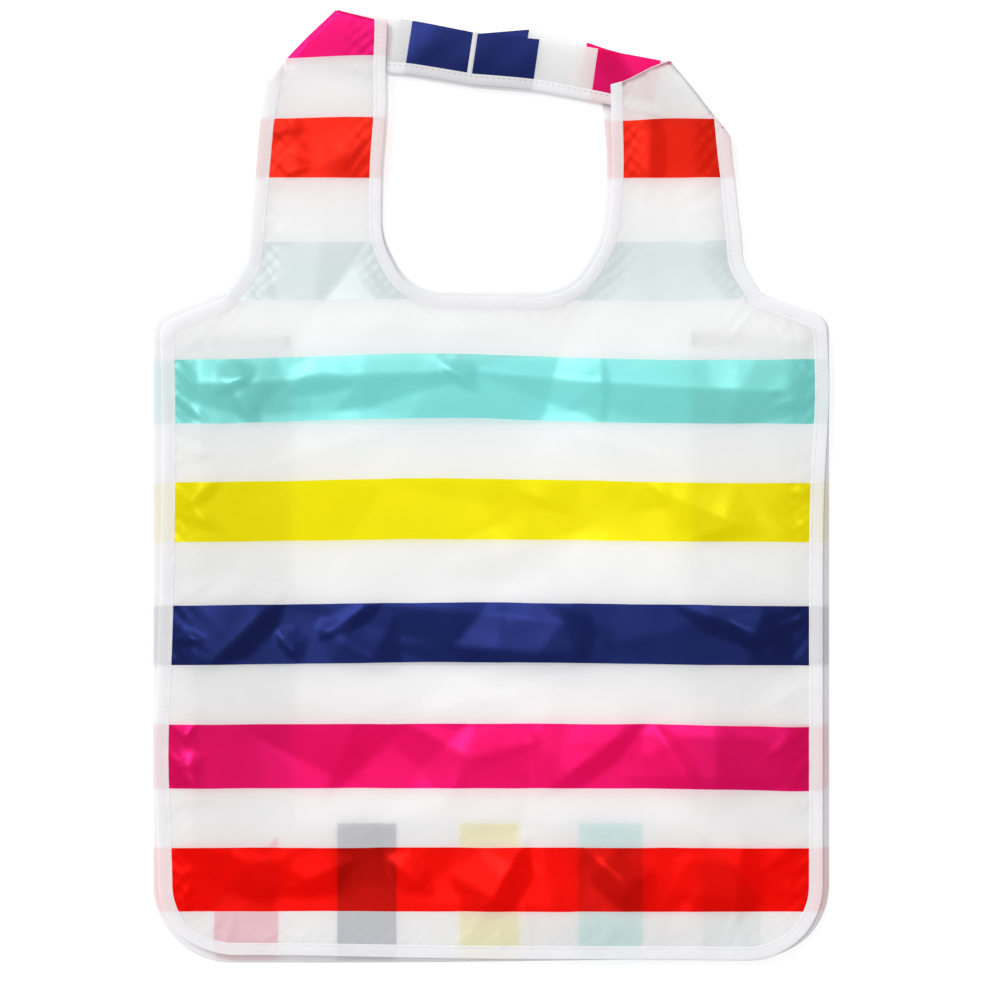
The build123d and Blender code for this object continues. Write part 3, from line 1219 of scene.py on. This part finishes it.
@dataclass
class BagSide:
    """One side of the bag: panel, straps, grip, tape and seams."""

    name: str
    cut: PanelCut
    cloth: LaidCloth
    grip: GripForm
    blend_start: float
    blend_end: float
    finishes: Finishes
    spacing: float = 4.8
    tape_step: float = 2.6
    measure_step: float = 8.0
    curl_rings: int = 7
    past_ends: Pair = (14.0, 5.0)
    grip_columns: int = 90
    grip_tape_span: Pair = (0.1, 0.87)
    grip_stitch_span: Pair = (0.19, 0.83)

    def build(self) -> None:
        """Builds every piece of this side, and hangs the grip's pieces on the handle."""
        outer = self.past_folds(self.cut.outer_edge(self.tape_step), self.past_ends[0])
        inner = self.past_folds(self.cut.inner_edge(self.tape_step), self.past_ends[1])
        edges = (("seam", outer, SEAM_TAPE), ("mouth", inner, EDGE_TAPE))
        cloth = self.panel_cloth()
        trims = [bind(f"{self.name}_{edge}_tape", self.cloth, line, section, self.finishes.tape)
                 for edge, line, section in edges]
        trims += [sew_edge(f"{self.name}_{edge}_stitches", self.cloth, line, section,
                           self.finishes.thread) for edge, line, section in edges]
        self.mount(cloth, trims)
        self.grip_pieces()

    def past_folds(self, edge: Points, reach: float) -> Points:
        """An edge carried past the folds at both ends, so that its tape curls with the cloth."""
        first, last = edge[0] - edge[1], edge[-1] - edge[-2]
        first, last = first / np.linalg.norm(first), last / np.linalg.norm(last)
        steps = np.arange(reach, 0.3, -0.5)
        return np.vstack([edge[0] + first * steps[:, None], edge,
                          edge[-1] + last * steps[::-1][:, None]])

    def panel_cloth(self) -> Piece:
        """The panel and its straps as one laid sheet, with the curled edge of each fold."""
        flat, faces = halved(*cut_cloth(self.cut.outline(self.spacing), self.spacing))
        points, count = [flat], len(flat)
        for side in (-1, 1):
            for (a, b), curl in zip(self.cut.folds(side), self.cloth.curls):
                reach = math.pi * (curl + max(self.cloth.heap) * self.cloth.heap_share)
                run, away, length = line_frame(a, b)
                off, span = (flat - a) @ away, (flat - a) @ run
                on_line = (np.abs(off) < 1e-3) & (span > -1e-3) & (span < length + 1e-3)
                edge = np.where(on_line)[0]
                edge = edge[np.argsort(span[edge])]
                base = list(edge)
                for k in range(1, self.curl_rings + 1):
                    points.append(flat[edge] + away * reach * k / self.curl_rings)
                    ring = list(range(count, count + len(edge)))
                    count += len(edge)
                    faces += zip(base[:-1], base[1:], ring[1:], ring[:-1])
                    base = ring
        cloth_at = np.vstack(points)
        if self.cloth.facing < 0:
            faces = [face[::-1] for face in faces]
        return make_piece(f"{self.name}_cloth", self.cloth.place(cloth_at), faces,
                          self.finishes.cloth, cloth_at)

    def mount(self, cloth: Piece, trims: list[Piece]) -> None:
        """Fixes the pieces in place, and hides the frame's parts that they stand in for."""
        for piece in (cloth, *trims):
            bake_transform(piece)
        straps = [f"{self.name}_strap_{end}" for end in ("left", "right")]
        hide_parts(f"{self.name}_panel", *straps)
        for trim, edge, strap_edge in ((trims[0], "seam", "outer"), (trims[1], "mouth", "inner")):
            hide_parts(f"{self.name}_{edge}_binding",
                        *(f"{strap}_{strap_edge}_binding" for strap in straps))
        outline = self.cut.outline(self.measure_step)

    def grip_pieces(self) -> None:
        """The folded grip, the tape round its open edges, its centre seam and its stitches."""
        form, shares = self.grip, np.linspace(0, 1, self.grip_columns)
        rows, prints = [], []
        for depth, level in form.section():
            rows.append(form.layer(shares, np.full(len(shares), depth), level))
            prints.append(form.print_at(rows[-1], depth, level))
        cloth = grid_piece(f"{self.name}_grip_cloth", np.stack(rows), np.stack(prints),
                           form.half < 0, self.finishes.cloth)
        trims = [self.grip_tape(), self.grip_joint(), self.grip_stitches()]
        for piece in (cloth, *trims):
            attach(piece, f"{self.name}_handle")
        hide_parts(f"{self.name}_grip_left", f"{self.name}_grip_right")
        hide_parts(f"{self.name}_grip_binding")
        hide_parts(f"{self.name}_grip_seam")

    def grip_tape(self) -> Piece:
        """The tape that holds the grip's open edges together."""
        form, shares = self.grip, np.linspace(*self.grip_tape_span, 70)
        width = form.width(shares)
        rows = [form.layer(shares, 1 - into / width, level, over)
                for into, level, over in GRIP_TAPE]
        return grid_piece(f"{self.name}_grip_tape", np.stack(rows),
                          strip_print(rows, range(len(rows))), form.half < 0, self.finishes.tape)

    def grip_joint(self, low_end: float = 0.86, tuck: float = 0.008) -> Piece:
        """The narrow raised seam across the grip, round its crease, where its two halves join."""
        form = self.grip
        flat, level = np.array([(d, lv) for d, lv in form.section() if d < low_end]).T
        rows = []
        for across, over in GRIP_JOINT:
            past_crease = flat - tuck - over / form.half_height
            depth = np.where(np.abs(level) < 0.99, past_crease, flat)
            start, end = form.ends(depth * form.middle_width)
            share = (form.seam_share * form.length + across - start) / (end - start)
            rows.append(form.layer(share, depth, level, over * np.abs(level)))
        print_at = strip_print(rows, [across for across, _ in GRIP_JOINT])
        return grid_piece(f"{self.name}_grip_joint", np.stack(rows), print_at, form.half > 0,
                          self.finishes.tape)

    def grip_stitches(self, up_from_edge: float = 5.0, over: float = 0.22) -> Piece:
        """The row of stitches that closes the grip, above its open edges."""
        form, shares = self.grip, np.linspace(*self.grip_stitch_span, 200)
        line = form.layer(shares, 1 - up_from_edge / form.width(shares), 1.0, over)
        up = np.tile((0.0, 0.0, form.sign), (len(shares), 1))
        return sew(f"{self.name}_grip_stitches", line, up, Stitch(length=1.1, pitch=3.3),
                   self.finishes.needle)


# ---- gusset ---------------------------------------------------------------------------------
@dataclass
class Gusset:
    """The folded strip between the panels: two sides and a bottom that meet along mitres."""

    front: BagSide
    back: BagSide
    crease_half: float
    crease_bottom: float
    middle_z: float
    top: float
    bottom_print: float = 270.0
    gap: float = 0.25
    bound_in: float = 1.2
    open_in: float = 8.0
    ripple: float = 0.09
    ripple_waves: Pair = (41.0, 5.0)
    leaf_rows: int = 13
    corner_rows: int = 14
    side_rows: int = 110
    bottom_rows: int = 46
    sharp_from: float = 60.0
    hem: float = 8.0
    blend_low: float = 1.6
    blend_high: float = 5.0

    def seam(self, side: BagSide, into: float, stations: Points, mirror: bool) -> Points:
        """Points beside one half's seam, from the middle of the bottom round to the top.

        Args:
            side: the panel that the seam belongs to.
            into: distance inwards from the panel's edge.
            stations: 0 to 1 along the bottom, 1 to 2 round the corner, 2 to 3 up the side.
            mirror: whether it is the left half.

        Returns:
            One point for each station, turned over to the right half.
        """
        w, r = side.cut.half_width, side.cut.corner
        out = np.empty((len(stations), 2))
        for i, s in enumerate(stations):
            if s <= 1:
                out[i] = ((w - r) * s, into)
            elif s <= 2:
                a = -math.pi / 2 + (s - 1) * math.pi / 2
                out[i] = (w - r + (r - into) * math.cos(a), r + (r - into) * math.sin(a))
            else:
                out[i] = (w - into, r + (self.top - r) * (s - 2))
        hand = np.array((-1.0 if mirror else 1.0, 1.0))
        return side.cloth.drift(out * hand) * hand

    def fold_line(self, start: Points, upward: bool) -> Points:
        """Where the row of each starting point ends: on the mitre first, then on the crease."""
        corner = np.array((self.crease_half, self.crease_bottom))
        run = along(start)
        axis = 1 if upward else 0
        free = start[:, axis] >= corner[axis] if upward else start[:, axis] <= corner[axis]
        first = int(np.argmax(free)) if free.any() else len(start)
        share = np.clip(run / run[first], 0, 1)
        ends = start[0] + (corner - start[0]) * share[:, None]
        ends[free] = corner
        ends[free, axis] = start[free, axis]
        return ends

    def strip(self, upward: bool, mirror: bool) -> tuple[Points, Points]:
        """One strip's rows of points, from the mitre on, and their places on the print."""
        corner, end, rows = (2, 3, self.side_rows) if upward else (1, 0, self.bottom_rows)
        stations = np.concatenate([np.linspace(1.5, corner, self.corner_rows)[:-1],
                                   np.linspace(corner, end, rows)])
        first = self.seam(self.front, self.open_in, stations, mirror)
        ends = self.fold_line(first, upward)
        along_seam, inwards = self.ripple_waves
        columns: list[Points] = []
        levels: list[Points] = []
        for side, sign in ((self.front, 1), (self.back, -1)):
            level = side.cloth.level - sign * self.gap
            open_at = self.seam(side, self.open_in, stations, mirror)
            reach = np.linalg.norm(ends - open_at, axis=1)
            deep = level + (self.middle_z - level) * reach / max(float(reach.max()), 1.0)
            leaf = [self.seam(side, self.bound_in, stations, mirror)]
            leaf_z = [np.full(len(stations), level)]
            for c in np.linspace(0, 1, self.leaf_rows):
                leaf.append(open_at + (ends - open_at) * c)
                swell = self.ripple * math.sin(math.pi * c)
                wave = swell * np.sin(stations * along_seam + inwards * c)
                leaf_z.append(level + (deep - level) * c + wave * sign)
            # the back leaf runs outwards again, and shares the fold with the front one
            columns += leaf if sign > 0 else leaf[-2::-1]
            levels += leaf_z if sign > 0 else leaf_z[-2::-1]
        flat = np.stack(columns, axis=1)
        print_at = flat.copy()
        if not upward:
            x = -flat[..., 0] if mirror else flat[..., 0]
            print_at[..., 0], print_at[..., 1] = flat[..., 1], x + self.bottom_print
        if mirror:
            flat = flat * np.array((-1.0, 1.0))
        return np.concatenate([flat, np.stack(levels, axis=1)[..., None]], axis=2), print_at

    def build(self) -> None:
        """Builds the three strips and the two hems, and hides the frame's parts that they stand in
        for.
        """
        for name, mirror in (("left", True), ("right", False)):
            points, print_at = self.strip(True, mirror)
            cloth = self.strip_cloth(f"gusset_{name}_cloth", points, print_at, mirror)
            hem = self.hem_piece(f"gusset_{name}_hem_tape", points[-1], mirror)
            self.mount(f"gusset_{name}", cloth, hem)
        right, left = self.strip(False, False), self.strip(False, True)
        points, print_at = (np.concatenate([a, b[::-1][1:]]) for a, b in zip(right, left))
        self.mount("gusset_bottom",
                   self.strip_cloth("gusset_bottom_cloth", points, print_at, True), None)

    def strip_cloth(self, name: str, points: Points, print_at: Points, flip: bool) -> Piece:
        """The cloth of one strip, with a sharp fold along its middle."""
        piece = grid_piece(name, points, print_at, flip, self.front.finishes.gusset)
        piece.data.set_sharp_from_angle(angle=math.radians(self.sharp_from))
        return piece

    def hem_piece(self, name: str, top: Points, mirror: bool) -> Piece:
        """The doubled edge across the top of a side strip."""
        half = ((-self.hem, 0.02), (-self.hem + 0.5, 0.14), (-self.hem / 2, 0.18), (-0.5, 0.16),
                (0.2, 0.05))
        steps = (*half, *((up, -out) for up, out in half[::-1]))
        slope = np.gradient(top, axis=0)
        normal = np.column_stack([-slope[:, 2], np.zeros(len(top)), slope[:, 0]])
        normal /= np.linalg.norm(normal, axis=1)[:, None]
        normal *= np.minimum(np.abs(np.arange(len(top)) - (len(top) - 1) / 2) / 3, 1)[:, None]
        rows = np.stack([top + np.array((0, up, 0)) + normal * out for up, out in steps])
        return grid_piece(name, rows, strip_print([top] * len(steps), range(len(steps))), mirror,
                          self.front.finishes.hem)

    def mount(self, node: str, cloth: Piece, hem: Piece | None) -> None:
        """Fixes a strip's pieces in place, and hides the frame's parts that they stand in for."""
        hems = [] if hem is None else [hem]
        for piece in (cloth, *hems):
            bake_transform(piece)
        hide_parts(node)
        for piece in hems:
            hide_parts(f"{node}_hem")


# ---- the set ----------------------------------------------------------------------------------
@dataclass(frozen=True)
class DistantLamp:
    """A broad lamp so far off that it lights the whole table evenly."""

    name: str
    towards: tuple[float, float, float]
    spread: float
    strength: float

    def build(self) -> None:
        """Hangs the lamp where it points back at the table."""
        data = bpy.data.lights.new(self.name, "SUN")
        data.energy, data.angle = self.strength, math.radians(self.spread)
        lamp = bpy.data.objects.new(self.name, data)
        lamp.location = self.towards
        lamp.rotation_euler = Vector(self.towards).to_track_quat("Z", "Y").to_euler()
        bpy.context.scene.collection.objects.link(lamp)


@dataclass(frozen=True)
class Studio:
    """A white table seen from straight above under soft light from the upper left."""

    view_height: float = 0.600
    centre: Pair = (0.0051, 0.277)
    cloth_level: float = 0.006
    lens: float = 132.0
    sensor: float = 36.0
    sky: float = 0.57
    floor_glow: float = 0.34
    floor_size: float = 12.0
    floor_level: float = -0.0006
    lamps: tuple[DistantLamp, ...] = (
        DistantLamp("key_light", (-0.95, 0.87, 0.95), 24.0, 1.75),
        DistantLamp("top_light", (-0.28, 0.34, 1.9), 6.0, 0.95),
    )

    def build(self) -> None:
        """Makes the floor, the lamps, the sky and the camera."""
        self.floor()
        self.world()
        for lamp in self.lamps:
            lamp.build()
        data = bpy.data.cameras.new("camera")
        data.lens, data.sensor_width = self.lens, self.sensor
        camera = bpy.data.objects.new("camera", data)
        height = self.cloth_level + self.view_height * self.lens / self.sensor
        camera.location = (*self.centre, height)
        bpy.context.scene.collection.objects.link(camera)
        bpy.context.scene.camera = camera
        bpy.context.scene.view_settings.view_transform = "Standard"

    def floor(self) -> None:
        """The table top, white to the camera and still holding the shadow."""
        bpy.ops.object.select_all(action="DESELECT")
        bpy.ops.mesh.primitive_plane_add(size=self.floor_size, location=(0, 0.3, self.floor_level))
        floor = bpy.context.active_object
        floor.name = "table_top"
        bpy.ops.object.transform_apply(location=True, rotation=True, scale=True)
        board = NodeBoard(bpy.data.materials.new("table_white"))
        matte = board.out("ShaderNodeBsdfDiffuse", {"Color": (0.86, 0.86, 0.87, 1)})
        glow = board.out("ShaderNodeEmission", {"Strength": self.floor_glow})
        both = board.out("ShaderNodeAddShader", {0: matte, 1: glow})
        rays = board.add("ShaderNodeLightPath").outputs
        seen = board.math("MAXIMUM", rays["Is Camera Ray"], rays["Is Glossy Ray"])
        seen = board.math("MAXIMUM", seen, rays["Is Transmission Ray"])
        floor.data.materials.append(board.finish(board.mix(seen, matte, both)))

    def world(self) -> None:
        """An even pale sky, white to the camera."""
        world = bpy.data.worlds.new("sky")
        bpy.context.scene.world = world
        board = NodeBoard(world)
        low, high = (board.out("ShaderNodeBackground", {"Strength": strength})
                     for strength in (self.sky, 1.0))
        rays = board.add("ShaderNodeLightPath").outputs
        board.add("ShaderNodeOutputWorld", {0: board.mix(rays["Is Camera Ray"], low, high)})


# ---- the whole tote ---------------------------------------------------------------------------
def cut_from_frame(side: str, right_fold: StrapFold) -> PanelCut:
    """Reads a panel's size and its straps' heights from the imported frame."""
    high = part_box(f"{side}_panel")[1] / MM
    left, right = (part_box(f"{side}_strap_{end}")[1] / MM for end in ("left", "right"))
    return PanelCut(half_width=high.x, top=high.y, left_rise=left.y - high.y,
                    right_rise=right.y - high.y, right_fold=right_fold)


def level_of(node: str) -> float:
    """The middle level of a node."""
    low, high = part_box(node)
    return (low.z + high.z) / 2 / MM


def layers_of(node: str, cloth: float = 0.4) -> Pair:
    """The middle levels of the lower and upper layer of a folded grip."""
    low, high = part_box(node)
    return low.z / MM + cloth / 2, high.z / MM - cloth / 2


FRONT_NUDGES = tuple(Nudge(*row) for row in (
    (-35, 352, 85, 42, 0, 4.2), (-30, 285, 110, 40, 0, 2.4), (-10, 200, 130, 50, 0, 2.2),
    (150, 425, 28, 34, 4.6, 1.5), (195, 388, 36, 20, 0, 3.6), (66, 480, 34, 60, 6.8, 0),
    (68, 532, 26, 22, 2.6, -5.6), (104, 541, 20, 20, -1.2, -0.6), (-66, 561, 24, 28, 3.6, 0.4),
    (-95, 571, 24, 22, 0, -1.8), (-80, 535, 34, 30, 0, 2.4), (-64, 512, 30, 26, 2.8, 0),
    (-150, 0, 130, 16, 0, 4.0), (90, 0, 120, 14, 0, 1.4), (195, 345, 60, 50, 3.6, 0),
    (-195, 310, 60, 80, 1.6, 0), (-195, 125, 50, 55, -2.7, 0), (190, 122, 60, 42, 0, -1.8),
))
BACK_NUDGES = tuple(Nudge(*row) for row in (
    (104, 554, 46, 26, -1.0, -9.4), (-115, 550, 45, 45, 1.6, -1.6), (-110, 0, 120, 14, 0, -0.9),
    (150, 0, 100, 14, 0, 1.6), (66, 478, 30, 34, 3.8, 0),
))
FRONT_CREASES = tuple(Crease(*row) for row in (
    (-189, 347, -40, 349, 1.5, 20, 24), (24, 349, 186, 342, 1.6, 24, 24),
    (-30, 355, -12, 342, 0.8, 5, 12), (66, 356, 66, 326, 0.35, 5, 12),
    (-164, 342, -145, 352, 0.8, 5, 14), (-156, 342, -143, 324, 0.8, 9, 6),
    (-116, 338, -88, 341, -0.7, 12, 12), (-188, 272, -166, 287, 0.8, 6, 20),
    (104, 281, 152, 261, 0.9, 16, 22), (-162, 183, -129, 216, 1.5, 12, 40),
    (-98, 196, -62, 176, 1.2, 14, 30), (-98, 196, -68, 215, 0.9, 7, 20),
    (6, 216, 2, 174, 1.7, 70, 80), (-128, 196, -116, 182, 0.7, 5, 12),
    (116, 212, 172, 193, 1.2, 10, 26), (148, 200, 176, 178, 0.9, 8, 16),
    (-69.6, 140.4, -35.4, 104.4, -1.8, 60, 50), (36, 104, 82, 138, 1.4, 10, 44),
    (122, 104, 100, 139, 0.9, 9, 20), (134, 148, 134, 98, 1.5, 44, 56),
    (-194, 122, -176, 141, 0.6, 5, 10), (-194, 122, -174, 106, 0.6, 6, 8),
    (18, 69, -5, 28, 1.9, 15, 32), (151, 68, 147, 28, 1.3, 14, 40),
    (-150, 62, -132, 34, 1.1, 16, 20), (-120, 44, -88, 58, 0.9, 12, 16),
    (60, 66, 92, 36, 1.0, 14, 22), (-60, 60, -38, 44, 0.8, 10, 14),
    (-20, 236, 40, 250, 0.7, 14, 18), (40, 318, 110, 300, 0.8, 16, 20),
    (-120, 300, -60, 316, 0.8, 16, 20), (-40, 150, 20, 160, 0.8, 14, 18),
    (93, 506, 91, 464, 0.9, 11, 30), (-130, 497, -114, 499, 0.9, 5, 12),
    (-130, 472, -110, 478, 0.9, 5, 12), (-108, 476, -71, 492, 0.8, 10, 16),
))


@dataclass(frozen=True)
class SideForm:
    """How one side of the bag lies; its bend, from the top, is not used."""

    name: str
    facing: float
    right_fold: StrapFold
    bend: Pair
    sag: Pair
    heap: Pair
    nudges: tuple[Nudge, ...]
    crumple_seed: int
    creases: tuple[Crease, ...]
    grip_crest: tuple[Pair, ...]
    grip_seam: float
    grip_tilt: float
    grip_puff: float

    def build(self, finishes: Finishes) -> BagSide:
        """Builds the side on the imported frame."""
        cut = cut_from_frame(self.name, self.right_fold)
        level = level_of(f"{self.name}_panel")
        low, high = layers_of(f"{self.name}_grip_left")
        outer, inner = (high, low) if self.facing > 0 else (low, high)
        cloth = LaidCloth(
            cut=cut, level=level, sag=self.sag, nudges=self.nudges, facing=self.facing,
            crumple=Crumple(self.crumple_seed, self.creases), heap=self.heap,
            curls=(abs(level - inner) / 2, abs(level - outer) / 2),
        )
        grip = GripForm(cloth, outer, inner, crest=self.grip_crest, seam_share=self.grip_seam,
                        tilt=self.grip_tilt, puff=self.grip_puff)
        side = BagSide(
            name=self.name, cut=cut, cloth=cloth, grip=grip, finishes=finishes,
            blend_start=cut.top + self.bend[0], blend_end=cut.top + self.bend[1],
        )
        side.build()
        return side


FRONT = SideForm(
    name="front", facing=1.0, right_fold=StrapFold(32.5, 46.6, -3.0, 5.2), bend=(-4, 6),
    sag=(1.9, 0.9), heap=(3.0, 1.4), nudges=FRONT_NUDGES, crumple_seed=12, creases=FRONT_CREASES,
    grip_crest=((0, 0), (0.24, 1.5), (0.43, -0.3), (0.62, 1.8), (0.81, 1.3), (1, 0)),
    grip_seam=0.416, grip_tilt=2.0, grip_puff=0.45,
)
BACK = SideForm(
    name="back", facing=-1.0, right_fold=StrapFold(34.0, 56.0, -2.0, 4.0), bend=(-1, 34),
    sag=(0.0, 0.0), heap=(0.0, 0.0), nudges=BACK_NUDGES, crumple_seed=47, creases=(),
    grip_crest=((0, 0), (0.24, 1.2), (0.43, -0.3), (0.572, 6.6), (0.607, 8.2), (0.679, 7.3),
                (0.748, 4.9), (0.82, 2.4), (0.9, 0.8), (1, 0)),
    grip_seam=0.385, grip_tilt=0.0, grip_puff=0.2,
)


def main() -> None:
    """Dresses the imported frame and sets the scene."""
    logging.basicConfig(level=logging.INFO, format="%(name)s: %(message)s")
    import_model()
    finishes = Finishes.make()
    front, back = (side.build(finishes) for side in (FRONT, BACK))
    side_crease, bottom_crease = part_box("gusset_right")[0] / MM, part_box("gusset_bottom")[1] / MM
    Gusset(
        front=front, back=back, crease_half=side_crease.x,
        crease_bottom=bottom_crease.y + MITRE_RISE, middle_z=level_of("gusset_bottom"),
        top=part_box("gusset_left_hem")[1].y / MM,
    ).build()
    Studio().build()


if __name__ == "__main__":
    main()
